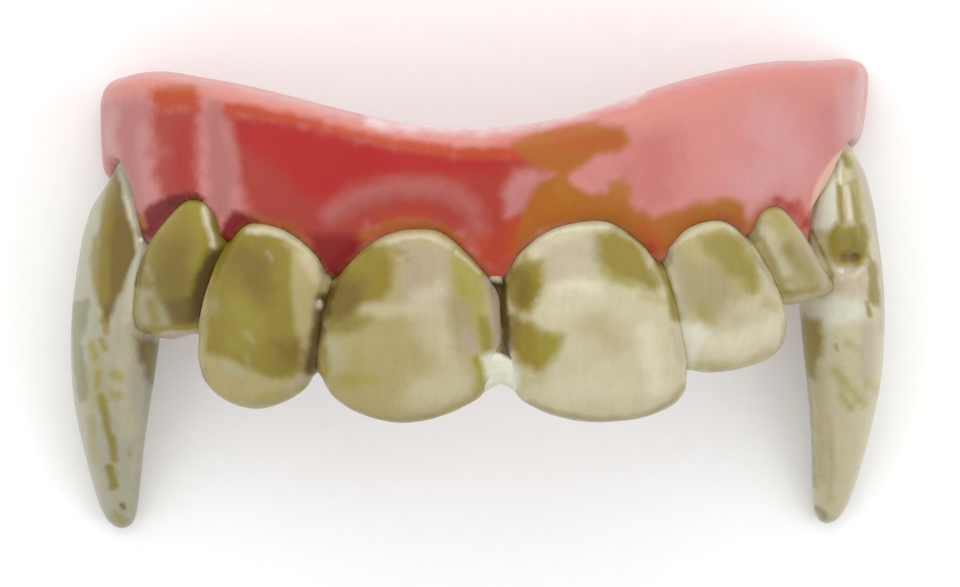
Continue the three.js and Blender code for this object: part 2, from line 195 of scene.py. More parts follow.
def cast_from(node_name, name, grain, cuts=()):
    """A new piece from a merged copy of a CAD node, cut flat where asked, in even faces as fine as
    the grain. A cut runs away from the viewer through two places of the charts."""
    piece = bpy.data.objects.new(name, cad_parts[node_name].data.copy())
    piece.data.materials.clear()
    bpy.context.scene.collection.objects.link(piece)
    edit(piece, bpy.ops.mesh.remove_doubles, threshold=MERGE)
    for start, end in cuts:
        first, last = sight(*start), sight(*end)
        plane = {"plane_co": EYE + first, "plane_no": first.cross(last).normalized()}
        edit(piece, bpy.ops.mesh.bisect, **plane, threshold=MERGE, use_fill=True, clear_outer=True)
    modify(piece, "REMESH", mode="VOXEL", voxel_size=grain)
    return piece


def places(piece):
    """A piece's vertices as an array."""
    flat = np.empty(len(piece.data.vertices) * 3)
    piece.data.vertices.foreach_get("co", flat)
    return flat.reshape(-1, 3)


def place(piece, points):
    """Moves a piece's vertices."""
    piece.data.vertices.foreach_set("co", points.ravel())
    piece.data.update()


def edges_of(piece):
    """The two vertices of each of a piece's edges."""
    flat = np.empty(len(piece.data.edges) * 2, int)
    piece.data.edges.foreach_get("vertices", flat)
    return flat.reshape(-1, 2)


def tree_of(piece):
    """A finished piece's surface, to be searched."""
    return BVHTree.FromObject(piece, bpy.context.evaluated_depsgraph_get())


def fade(values, none_at, full_at):
    """0 at none_at, 1 at full_at and smooth between them."""
    t = np.clip((values - none_at) / (full_at - none_at), 0, 1)
    return t * t * (3 - 2 * t)


def averaged(values, edges, rounds):
    """Values at the vertices, each drawn half way to its neighbours' average every round."""
    a, b = edges.T
    count = len(values)
    degree = np.bincount(a, minlength=count) + np.bincount(b, minlength=count)
    for _ in range(rounds):
        sums = [np.bincount(a, v[b], count) + np.bincount(b, v[a], count) for v in values.T]
        values = (values + np.stack(sums, axis=1) / degree[:, None]) / 2
    return values


def polished(piece, rounds):
    """The vertices with the facets smoothed away. What the first smoothing shrank is put back."""
    edges = edges_of(piece)
    start = places(piece)
    once = averaged(start, edges, rounds)
    return once + averaged(start - once, edges, rounds)


def nearest(points, trees):
    """For each point, the way to the closest surface and how far it is, below 0 inside it."""
    ways = np.zeros_like(points)
    gaps = np.full(len(points), np.inf)
    for i, point in enumerate(points):
        for tree in trees:
            found, outward, _, gap = tree.find_nearest(point, SEARCH)
            if found is not None and gap < abs(gaps[i]):
                ways[i] = np.array(found) - point
                gaps[i] = gap if ways[i] @ outward < 0 else -gap
    return ways, gaps


def pull(piece, ways, gaps, reach, depths):
    """Moves the vertices within reach of a surface towards it by their depths, those in the
    outer half of the reach by less and less."""
    points = places(piece)
    near = (gaps < reach) & (gaps != 0)
    run = depths[near] * fade(gaps[near], reach, reach * 0.5)
    points[near] += ways[near] / gaps[near][:, None] * run[:, None]
    place(piece, points)


def draw_up(piece, trees, reach, bite):
    """Draws a piece up to the surfaces near it and a little way in."""
    ways, gaps = nearest(places(piece), trees)
    pull(piece, ways, gaps, reach, np.maximum(gaps + bite, 0))


def draw_together(piece, neighbours, reach, bite):
    """Closes the gap between a tooth and its neighbours, half from each side."""
    ways, gaps = nearest(places(piece), neighbours)
    gaps = np.abs(gaps)
    pull(piece, ways, gaps, reach, gaps / 2 + bite)


def seen_at(across, up, trees):
    """The point of the nearest surface seen at a place of the charts."""
    ray = sight(across, up)
    hits = [tree.ray_cast(EYE, ray) for tree in trees]
    return min((hit for hit in hits if hit[0] is not None), key=lambda hit: hit[3])[0]


def uneven(points, size, seed):
    """Smooth random values from -1 to 1 at the points, with lumps of about a size."""
    shift = Vector([seed * step for step in SEED_STEPS])
    return np.array([noise.noise(Vector(p) / size + shift) for p in points])


def mottle(points, lumps):
    """Uneven values of several sizes, by their weights."""
    return sum(weight * uneven(points, size * MM, seed) for size, weight, seed in lumps)


def seen_from_front(points):
    """Where points lie in the charts, in millimetres right of the aim and above it."""
    away = points - np.array(AIM)
    scale = VIEW_DISTANCE / (VIEW_DISTANCE - away @ np.array(TO_VIEWER)) / MM
    return np.stack([away @ np.array(RIGHTWARD), away @ np.array(UPWARD)], axis=1) * scale[:, None]


def outside(at, path, radius):
    """How far points of a chart lie outside a stroke, or a filled outline if radius is 0."""
    path = np.array(path).reshape(-1, 2) / 10
    closed = radius == 0 and len(path) > 2
    gap = np.full(len(at), np.inf)
    inside = np.zeros(len(at), bool)
    ends = np.roll(path, -1, axis=0) if closed else path[1:]
    for start, end in zip(path, ends):
        run = end - start
        share = np.clip((at - start) @ run / max(run @ run, SHORTEST), 0, 1)
        gap = np.minimum(gap, np.hypot(*(at - start - share[:, None] * run).T))
        if closed and run[1] != 0:
            level = (start[1] > at[:, 1]) != (end[1] > at[:, 1])
            cross = start[0] + (at[:, 1] - start[1]) / run[1] * run[0]
            inside ^= level & (at[:, 0] < cross)
    return np.where(inside, -gap, gap) - radius


def seen_share(piece):
    """1 on the side of a piece that the charts show, 0 well behind it, smooth round its edges."""
    tree = tree_of(piece)
    behind = []
    for vertex in piece.data.vertices:
        ray = vertex.co - EYE
        hit = tree.ray_cast(EYE, ray)
        behind.append(ray.length - hit[3] if hit[0] else 0.0)
    return 1 - fade(np.array(behind), *FADES_BEHIND)


def carve(piece, marks):
    """Raises ridges and sinks grooves and dents, charted as brush marks are, by their heights."""
    points = places(piece)
    at = seen_from_front(points)
    rise = np.zeros(len(points))
    for height, softness, radius, path in marks:
        edge = outside(at, path, radius)
        rise += height * fade(-edge, -softness, softness)
    place(piece, points + np.array(TO_VIEWER) * (rise * seen_share(piece) * MM)[:, None])


def brush(piece, chart, base, under, over, seam=0.0, wrap=0.0):
    """Paints a piece's marks over its base into its colour attribute, on the side that the charts
    show and where wrap says so, with over washed on under elsewhere and umber along the seam."""
    paints = bpy.context.scene.denture_paints
    points = places(piece)
    at = seen_from_front(points)
    ragged = mottle(points, RAGGED_LUMPS)
    colour = np.tile(np.array(getattr(paints, base)), (len(points), 1))
    for paint, strength, softness, radius, path in chart:
        edge = outside(at, path, radius) + ragged * (RAGGED_SHARE * softness + RAGGED_LEAST)
        share = strength * fade(-edge, -softness, softness)[:, None]
        colour += (np.array(getattr(paints, paint)) - colour) * share
    wash = fade(mottle(points, WASH_LUMPS), *WASH_EDGE)[:, None]
    behind = np.array(getattr(paints, under)) * (1 - wash) + np.array(getattr(paints, over)) * wash
    colour = behind + (colour - behind) * np.maximum(seen_share(piece), wrap)[:, None]
    stain = seam * (1 + SEAM_UNEVEN * ragged).clip(0, SEAM_MOST)
    colour += (np.array(paints.umber) - colour) * stain[:, None]
    layer = piece.data.color_attributes.new("paint", "FLOAT_COLOR", "POINT")
    opaque = np.ones((len(points), 1))
    layer.data.foreach_set("color", np.concatenate([colour, opaque], axis=1).ravel())


def node(material, kind, inputs=None, **settings):
    """Adds a node to a material, with its settings, its values and its links."""
    made = material.node_tree.nodes.new(kind)
    for key, value in settings.items():
        setattr(made, key, value)
    for key, value in (inputs or {}).items():
        if isinstance(value, bpy.types.NodeSocket):
            material.node_tree.links.new(value, made.inputs[key])
        else:
            made.inputs[key].default_value = value
    return made


def noise_at(material, where, scale, detail, roughness=0.5):
    """A noise texture's value."""
    inputs = {"Vector": where, "Scale": scale, "Detail": detail, "Roughness": roughness}
    return node(material, "ShaderNodeTexNoise", inputs).outputs["Fac"]


def ranged(material, value, low, high, middle, swing):
    """A value that runs from low to high, mapped to a swing round a middle."""
    ends = {"From Min": low, "From Max": high, "To Min": middle - swing, "To Max": middle + swing}
    return node(material, "ShaderNodeMapRange", {"Value": value, **ends}).outputs["Result"]


def acrylic(name, roughness, streaks, coat, inner, inner_radius):
    """Cast acrylic, painted and varnished by brush: the paint attribute gives the colour, streaks
    and fine specks vary it, and the varnish lies in soft uneven waves that break up the gloss."""
    material = bpy.data.materials.new(name)
    material.use_nodes = True
    material.node_tree.nodes.clear()
    where = node(material, "ShaderNodeTexCoord").outputs["Object"]
    paint = node(material, "ShaderNodeAttribute", attribute_name="paint").outputs["Color"]
    # Brush streaks run from the rim to the biting edge: 0.35 mm wide and about 3 mm long.
    run = {"Vector": where, "Scale": (2800, 330, 2800)}
    stretched = node(material, "ShaderNodeMapping", run).outputs["Vector"]
    streak = noise_at(material, stretched, 1.0, 3.0, 0.55)
    # Blotches of thicker and thinner paint, 1.6 mm across, and pigment specks of 0.15 mm.
    blotch = noise_at(material, where, 620.0, 4.0, 0.6)
    grain = noise_at(material, where, 6500.0, 1.0)
    both = node(material, "ShaderNodeMath", {0: streak, 1: blotch}, operation="ADD").outputs[0]
    shade = ranged(material, both, 0.7, 1.3, 1, streaks)
    fleck = ranged(material, grain, 0.3, 0.7, 1, SPECKS)
    amount = node(material, "ShaderNodeMath", {0: shade, 1: fleck}, operation="MULTIPLY").outputs[0]
    scaled = {0: paint, "Scale": amount}
    colour = node(material, "ShaderNodeVectorMath", scaled, operation="SCALE").outputs["Vector"]
    # Waves in the varnish, 0.8 mm long and a few hundredths of a millimetre high.
    wave = noise_at(material, where, 1300.0, 2.0, 0.4)
    relief = {"Strength": 0.35, "Distance": 0.05 * MM, "Height": wave}
    shader = node(
        material,
        "ShaderNodeBsdfPrincipled",
        {
            "Base Color": colour,
            "Roughness": ranged(material, blotch, 0.3, 0.7, roughness, GLOSS_SWING),
            "IOR": 1.49,
            "Specular IOR Level": 0.28,
            "Normal": node(material, "ShaderNodeBump", relief).outputs["Normal"],
            "Coat Weight": coat,
            "Coat Roughness": 0.18,
            "Subsurface Weight": inner,
            "Subsurface Radius": inner_radius,
            "Subsurface Scale": 0.6 * MM,
        },
    ).outputs["BSDF"]
    node(material, "ShaderNodeOutputMaterial", {"Surface": shader})
    return material


def finish_piece(piece, material, slot, *nodes):
    """Gives a piece its material and smooth shading, hangs it on the root body and hides the CAD
    nodes that it takes the place of.
    """
    piece.data.materials.clear()
    piece.data.materials.append(material)
    piece.data.shade_smooth()
    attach(piece, "root")
    if nodes:
        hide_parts(*nodes)


# The brush marks of each piece, in the view from the front. A mark is its paint, its strength,
# the softness of its edge and its radius in millimetres, and its points, in pairs of tenths of a
# millimetre right of the aim and above it. A radius of 0 is an outline that is filled. Later
# marks lie over earlier ones.
# Cream along the crowns' top edges is partly stain wiped off and partly painted highlight where the
# rounded edge catches the light; drab along the biting edges is painted shade.
CHARTS = {}
CHARTS["central_incisor_left"] = (
    ("ivory", 0.7, 0.89, 1, (-36,-16, -26,-33, -22,-55, -42,-64)),
    ("fawn", 0.65, 0.76, 0, (-56,32, -26,32, -22,15, -23,-4, -34,-16, -55,-12, -60,5)),
    ("cream", 0.45, 0.57, 0.57, (-42,-4, -29,2)),
    ("bone", 0.6, 0.51, 0.38, (-56,15, -57,-1)),
    ("cream", 0.55, 0.32, 0.16, (-70,30, -62,33, -52,36, -42,37, -32,35, -23,30)),
    ("olive", 1, 0.51, 0, (-85,20, -76,30, -66,30, -58,23, -60,5, -66,-5, -79,-8, -90,-18, -99,-24,
     -102,-14, -99,2, -93,14)),
    ("umber", 0.9, 0.76, 0, (-95,11, -79,10, -77,-3, -86,-16, -97,-21, -102,-7, -99,5)),
    ("olive", 0.5, 0.38, 0.19, (-69,28, -58,28, -51,24)),
    # Painted highlight: a pale band where the face turns up to the light.
    ("ivory", 0.7, 0.44, 0.38, (-76,-11, -61,-10, -29,-11)),
    ("olive", 0.85, 0.51, 0.38, (-95,-23, -86,-21, -76,-17)),
    ("moss", 0.75, 0.57, 0, (-21,26, -11,21, -1,11, 0,-4, -2,-18, 6,-23, 6,-37, -1,-38, -6,-24,
     -8,-9, -13,-5, -20,1, -22,15)),
    ("olive", 0.8, 0.32, 0.38, (-1,-18, 2,-33)),
    ("cream", 0.6, 0.13, 0.1, (-19,26, -11,20, -4,13)),
    # Painted shade down the face's right side.
    ("drab", 0.5, 0.57, 0.51, (-18,-7, -15,-33)),
    ("fawn", 0.95, 0.25, 0.29, (1,9, 4,-2, 6,-17, 8,-33)),
    # Painted reflection: a pale lilac patch.
    ("fawn", 0.8, 0.38, 0.38, (-13,-24, -9,-36)),
    ("moss", 0.9, 0.25, 0.29, (-6,-42, -3,-50, -4,-58, -6,-61)),
    ("moss", 0.35, 0.76, 0, (-100,-46, -85,-37, -72,-50, -85,-63, -97,-59)),
    ("moss", 0.45, 0.32, 0.32, (-91,-55, -72,-55)),
    ("ivory", 0.6, 0.63, 0.76, (-36,-63, -15,-57)),
    ("ash", 0.5, 0.51, 0.51, (-97,-33, -94,-43)),
    ("bark", 0.95, 0.38, 0.32, (-100,2, -104,-16, -108,-33, -110,-49)),
    ("olive", 0.8, 0.25, 0.25, (-103,-35, -102,-46, -104,-54)),
    ("chalk", 0.9, 0.32, 0, (-3,-40, 6,-37, 11,-40, 11,-60, 3,-61, -1,-52)),
    # Painted shade along the biting edge.
    ("drab", 0.75, 0.25, 0.19, (-107,-59, -97,-67, -79,-78, -55,-82, -29,-78, -10,-70, 4,-62)),
)
CHARTS["central_incisor_right"] = (
    ("bone", 0.6, 0.89, 0.89, (67,-17, 80,-28)),
    ("fawn", 0.6, 0.76, 0, (36,32, 72,35, 76,20, 66,10, 42,8, 37,20)),
    ("drab", 0.45, 0.51, 0.44, (70,34, 74,24)),
    ("cream", 0.12, 0.51, 0.57, (50,20, 60,17)),
    ("cream", 0.7, 0.25, 0.22, (33,36, 47,41, 63,43, 76,43, 88,39, 98,31, 104,21)),
    ("olive", 1, 0.51, 0, (70,38, 83,41, 94,34, 102,23, 111,6, 108,0, 95,6, 83,8, 72,17)),
    ("moss", 0.6, 0.38, 0.32, (75,14, 86,8, 95,5)),
    ("moss", 0.5, 0.38, 0.25, (100,-2, 112,-5)),
    ("olive", 1, 0.51, 0, (13,15, 25,23, 36,20, 38,9, 33,-4, 28,-13, 21,-12, 12,-5)),
    ("umber", 0.9, 0.63, 0.51, (22,10, 23,-3)),
    ("olive", 1, 0.51, 0, (16,-16, 27,-16, 35,-24, 47,-27, 46,-36, 41,-43, 34,-50, 23,-48, 17,-40,
     13,-27)),
    ("umber", 0.7, 0.38, 0.32, (17,-16, 17,-33)),
    ("moss", 0.5, 0.38, 0, (31,-24, 51,-26, 47,-39, 37,-47, 31,-37)),
    ("moss", 0.35, 0.51, 0.38, (23,-55, 34,-54)),
    # Painted highlights on the upper face, where it bulges towards the light, here and in the next
    # mark.
    ("cream", 0.9, 0.44, 0.38, (44,2, 57,5, 67,3)),
    ("cream", 0.45, 0.76, 0.83, (47,-6, 66,-4)),
    # Painted highlight down the right flank.
    ("cream", 0.75, 0.63, 0.57, (101,-25, 105,-42, 108,-60)),
    ("cream", 0.3, 0.76, 0.89, (85,-58, 47,-61)),
    ("bark", 1, 0.19, 0.29, (10,6, 11,-7, 12,-23, 13,-37)),
    ("olive", 0.9, 0.25, 0.25, (109,19, 116,5, 120,-16)),
    ("fawn", 0.5, 0.25, 0.25, (118,-23, 124,-43)),
    ("chalk", 0.9, 0.38, 0, (8,-41, 14,-44, 20,-51, 20,-60, 9,-63)),
    # Painted shade along the biting edge.
    ("drab", 0.7, 0.25, 0.19, (28,-70, 47,-77, 72,-81, 98,-79, 117,-70, 126,-59)),
)
CHARTS["lateral_incisor_left"] = (
    ("olive", 1, 0.38, 0, (-173,28, -159,40, -150,42, -138,39, -128,35, -123,28, -123,-4, -120,-26,
     -117,-45, -123,-54, -136,-54, -147,-50, -156,-46, -166,-41, -179,-37, -180,-26, -178,-10,
     -175,9)),
    ("umber", 0.6, 1.02, 0, (-161,33, -142,30, -136,20, -137,-4, -146,-4, -156,3, -164,14,
     -166,24)),
    ("moss", 0.5, 0.89, 0.76, (-159,-7, -149,-20, -156,-30)),
    ("umber", 0.75, 0.76, 0, (-133,-31, -119,-30, -116,-46, -127,-49, -133,-42)),
    ("umber", 0.25, 0.76, 0.51, (-145,9, -141,-4)),
    # The pale top edge is partly stain wiped off and partly painted highlight where the bevel
    # catches the light.
    ("cream", 0.75, 0.25, 0.19, (-151,40, -140,40, -127,37, -114,29, -104,18, -100,7)),
    ("bone", 0.9, 0.32, 0, (-122,28, -104,20, -98,5, -103,-4, -110,-18, -117,-26, -121,-12,
     -123,9)),
    ("cream", 0.35, 0.38, 0.44, (-114,23, -107,11)),
    ("bone", 0.5, 0.19, 0.13, (-177,-23, -180,-36, -178,-49)),
    ("bone", 1, 0.32, 0, (-177,-43, -164,-44, -153,-50, -142,-55, -124,-57, -116,-53, -124,-66,
     -140,-73, -159,-75, -172,-66, -179,-54)),
    ("ash", 0.5, 0.32, 0.32, (-166,-46, -156,-51)),
    ("fawn", 0.5, 0.25, 0.25, (-128,-61, -114,-52)),
    # Painted highlights, in this and the next three marks: small pale glints on the face.
    ("fawn", 0.5, 0.19, 0.13, (-139,26, -136,22)),
    ("bone", 0.45, 0.25, 0.19, (-152,-26, -148,-32)),
    ("bone", 0.35, 0.25, 0.19, (-152,-40, -151,-47)),
    ("fawn", 0.35, 0.32, 0.19, (-173,-6, -173,-12)),
    ("moss", 0.5, 0.32, 0.25, (-142,-66, -128,-63)),
    ("bark", 0.95, 0.32, 0.41, (-104,-4, -107,-20, -110,-35, -112,-48)),
    ("fawn", 0.9, 0.19, 0.25, (-107,-7, -105,-8)),
    # Painted shade along the biting edge.
    ("drab", 0.8, 0.25, 0.19, (-180,-50, -177,-61, -168,-71, -156,-75, -142,-74, -124,-67,
     -114,-59)),
)
CHARTS["side_tooth_left"] = (
    ("umber", 0.6, 0.89, 0, (-207,34, -188,34, -184,2, -188,-18, -207,-18, -213,9)),
    ("moss", 0.35, 0.51, 0.44, (-184,53, -180,31, -184,20)),
    ("bark", 1, 0.44, 0, (-175,28, -168,28, -173,2, -178,-19, -187,-17, -189,-4, -183,14)),
    ("bark", 0.5, 0.44, 0, (-203,-5, -188,-3, -184,-18, -197,-21, -203,-16)),
    # Painted highlight on the raised ridge.
    ("cream", 0.8, 0.25, 0.22, (-178,54, -177,45, -173,35, -173,31)),
    # Painted highlight: a faint pale spot.
    ("fawn", 0.4, 0.25, 0.16, (-215,16, -213,9)),
    ("ash", 0.6, 0.38, 0, (-222,2, -212,3, -208,-5, -202,-14, -201,-21, -213,-19, -220,-24,
     -224,-14)),
    ("olive", 0.8, 0.32, 0.32, (-213,-6, -210,-16)),
    ("bark", 0.8, 0.25, 0.25, (-218,28, -221,16, -222,7)),
    ("olive", 0.9, 0.13, 0.13, (-213,-24, -197,-22, -183,-21)),
    ("fawn", 0.9, 0.13, 0, (-224,-25, -215,-26, -201,-24, -179,-22, -178,-26, -193,-28, -207,-33,
     -216,-31)),
)
CHARTS["side_tooth_right"] = (
    ("ivory", 0.9, 0.38, 0.44, (176,39, 183,28, 190,14)),
    ("moss", 0.5, 0.38, 0.38, (184,52, 189,45)),
    ("drab", 0.6, 0.51, 0, (192,35, 203,29, 210,12, 201,19, 193,25)),
    ("olive", 0.65, 0.51, 0.38, (191,28, 198,19, 206,11, 209,4)),
    ("ivory", 0.6, 0.25, 0.19, (192,5, 195,3)),
    ("olive", 0.75, 0.25, 0.19, (190,0, 201,1, 210,3)),
    ("fawn", 0.6, 0.25, 0.25, (201,38, 211,20, 218,1)),
    ("olive", 0.65, 0.25, 0.16, (175,34, 182,20, 189,1)),
    ("ash", 0.6, 0.25, 0.25, (197,-5, 209,-8, 217,-5)),
)
CHARTS["lateral_incisor_right"] = (
    ("bone", 0.9, 0.76, 0, (116,34, 150,42, 173,21, 175,1, 158,-5, 146,-18, 131,-16, 121,-4)),
    ("cream", 0.45, 0.38, 0.32, (114,28, 118,12, 123,-7)),
    ("cream", 0.5, 0.25, 0.22, (116,30, 126,37, 139,42, 152,44, 161,41, 169,33, 176,22)),
    ("fawn", 0.5, 0.38, 0.38, (121,20, 126,-4)),
    # Painted shade in the middle of the face.
    ("drab", 0.45, 0.76, 0, (128,20, 145,20, 158,11, 158,-3, 146,-14, 136,-14, 130,2)),
    ("moss", 0.5, 0.57, 0, (136,36, 150,40, 162,35, 168,24, 173,12, 170,2, 163,8, 154,11, 147,19,
     139,26)),
    ("olive", 0.75, 0.57, 0, (136,36, 150,40, 162,35, 168,24, 173,12, 170,2, 163,8, 154,11, 147,19,
     139,26)),
    ("moss", 0.6, 0.32, 0.25, (164,7, 169,3)),
    ("moss", 0.45, 0.44, 0.44, (137,-9, 143,-17)),
    # Painted highlight on the lower face.
    ("fawn", 0.5, 0.38, 0.38, (150,-10, 159,-16)),
    ("fawn", 0.5, 0.25, 0.32, (175,20, 182,2)),
    ("chalk", 0.9, 0.38, 0, (121,-18, 136,-20, 144,-24, 137,-36, 131,-45, 126,-35)),
    # Painted highlight along the lower face.
    ("cream", 0.8, 0.63, 0.7, (145,-33, 164,-31, 182,-22)),
    ("moss", 0.4, 0.32, 0.32, (178,-6, 184,-8)),
    ("bone", 0.6, 0.32, 0.32, (136,-46, 164,-47, 180,-38)),
    ("olive", 0.85, 0.25, 0.25, (110,20, 117,2, 121,-16)),
    # Painted shade along the biting edge.
    ("drab", 0.7, 0.19, 0.16, (143,-49, 164,-50, 179,-45, 188,-33, 191,-16)),
)
CHARTS["fang_left"] = (
    ("ivory", 0.5, 0.51, 0.51, (-227,-23, -230,-55, -227,-87)),
    ("cream", 0.6, 0.32, 0.32, (-230,59, -224,45, -221,33, -223,20, -223,2, -227,-17)),
    ("umber", 1, 0.22, 0, (-236,85, -232,71, -229,54, -224,40, -222,26, -227,14, -234,-4, -240,-20,
     -243,-17, -246,-1, -247,21, -245,43, -242,66, -240,77)),
    ("olive", 0.7, 0.32, 0.38, (-240,72, -241,47, -243,20, -243,-4)),
    ("ash", 0.5, 0.32, 0.19, (-241,70, -247,50, -252,28, -256,5)),
    ("olive", 0.8, 0.25, 0.25, (-248,34, -249,20, -247,2)),
    # Painted shade on the left edge, which turns away from the light.
    ("slate", 1, 0.19, 0, (-264,-4, -252,-4, -253,-18, -257,-30, -255,-42, -252,-54, -253,-68,
     -258,-69, -262,-50, -264,-23)),
    ("olive", 0.8, 0.19, 0.19, (-243,-17, -241,-24)),
    ("olive", 0.75, 0.19, 0.22, (-244,-30, -242,-35)),
    ("moss", 0.7, 0.19, 0.16, (-250,-33, -248,-41)),
    ("moss", 0.8, 0.19, 0.19, (-246,-50, -247,-59)),
    ("moss", 0.6, 0.25, 0.32, (-237,-51, -233,-53)),
    ("moss", 0.6, 0.25, 0.32, (-237,-64, -234,-65)),
    ("olive", 0.85, 0.19, 0.25, (-244,-66, -241,-83, -237,-96, -236,-105)),
    ("olive", 0.9, 0.19, 0.29, (-239,-111, -236,-122)),
    ("moss", 0.5, 0.25, 0.25, (-251,-79, -249,-106)),
    ("moss", 0.35, 0.38, 0.51, (-248,-36, -247,-68)),
    ("drab", 0.6, 0.13, 0.13, (-226,-101, -226,-102)),
    ("umber", 0.8, 0.13, 0.13, (-231,-134, -230,-136)),
    ("moss", 0.8, 0.25, 0.25, (-235,-140, -230,-145)),
    ("umber", 0.95, 0.38, 0, (-223,-28, -204,-30, -206,-46, -211,-63, -217,-50)),
    ("olive", 0.5, 0.38, 0.32, (-215,-33, -211,-46)),
    # Painted shade down the right edge and round the tip, here and in the next mark.
    ("slate", 0.6, 0.32, 0.25, (-213,-60, -216,-87, -219,-118, -222,-141)),
    ("slate", 0.5, 0.25, 0.25, (-241,-143, -232,-149, -225,-146)),
)
CHARTS["fang_right"] = (
    ("bone", 0.6, 0.51, 0.44, (210,-50, 211,-80, 212,-118)),
    ("chalk", 1, 0.19, 0, (211,59, 220,75, 223,68, 222,41, 204,41, 204,50)),
    ("bone", 0.8, 0.51, 0, (213,37, 222,42, 222,20, 220,5, 215,20)),
    ("chalk", 0.85, 0.63, 0, (207,-5, 231,-1, 243,-8, 239,-18, 216,-22)),
    ("fawn", 0.6, 0.51, 0, (221,20, 241,23, 243,2, 232,-3, 221,2)),
    ("fawn", 0.8, 0.25, 0.29, (237,80, 244,56, 250,31, 253,5, 253,-23)),
    ("olive", 0.9, 0.19, 0.19, (224,68, 225,56, 226,44)),
    ("olive", 0.95, 0.25, 0.22, (232,70, 235,54, 237,40)),
    ("olive", 0.9, 0.19, 0.25, (227,87, 230,82)),
    ("moss", 0.5, 0.25, 0.25, (232,85, 236,66, 240,43)),
    ("olive", 1, 0.25, 0, (217,37, 222,45, 232,43, 240,45, 244,36, 243,25, 238,17, 222,18,
     218,26)),
    ("umber", 0.35, 0.32, 0.57, (229,34, 233,30)),
    ("umber", 1, 0.19, 0.25, (227,23, 235,23)),
    # Painted glint high on the fang.
    ("cream", 1, 0.08, 0.089, (224,86, 225,70)),
    # Painted highlight along the raised ridge.
    ("cream", 0.8, 0.13, 0.17, (229,67, 231,49)),
    # Painted highlight on the dent's raised rim, and a painted glint in the next mark.
    ("cream", 0.6, 0.19, 0.13, (221,15, 226,10, 234,11, 239,16)),
    ("chalk", 0.8, 0.1, 0.1, (225,15, 226,14)),
    ("umber", 0.35, 0.25, 0.19, (246,18, 247,-4)),
    ("olive", 1, 0.22, 0, (243,24, 248,20, 250,2, 250,-9, 243,-6, 243,9)),
    ("olive", 0.9, 0.16, 0.13, (242,-6, 244,-14)),
    ("olive", 1, 0.38, 0, (196,-4, 203,-14, 212,-18, 215,-28, 213,-40, 208,-54, 198,-51, 197,-30)),
    ("olive", 0.8, 0.1, 0.095, (207,40, 213,28, 220,11)),
    ("fawn", 0.5, 0.51, 0.57, (243,-23, 241,-49)),
    ("moss", 0.55, 0.38, 0.32, (223,-49, 228,-58, 234,-64, 239,-69)),
    ("moss", 0.6, 0.32, 0.25, (226,-65, 232,-73)),
    ("moss", 0.45, 0.32, 0.38, (244,-57, 248,-61)),
    ("olive", 0.6, 0.13, 0.11, (222,-33, 223,-36)),
    ("moss", 0.35, 0.25, 0.25, (230,-32, 236,-35)),
    ("bone", 0.5, 0.25, 0.19, (218,-80, 220,-112, 218,-131)),
    # Painted shade down the left edge and round the tip, here and in the next two marks.
    ("slate", 0.7, 0.19, 0.16, (204,-50, 206,-87, 208,-122)),
    ("slate", 0.9, 0.19, 0.22, (210,-136, 215,-141)),
    ("slate", 0.4, 0.25, 0.25, (212,-145, 222,-144)),
)
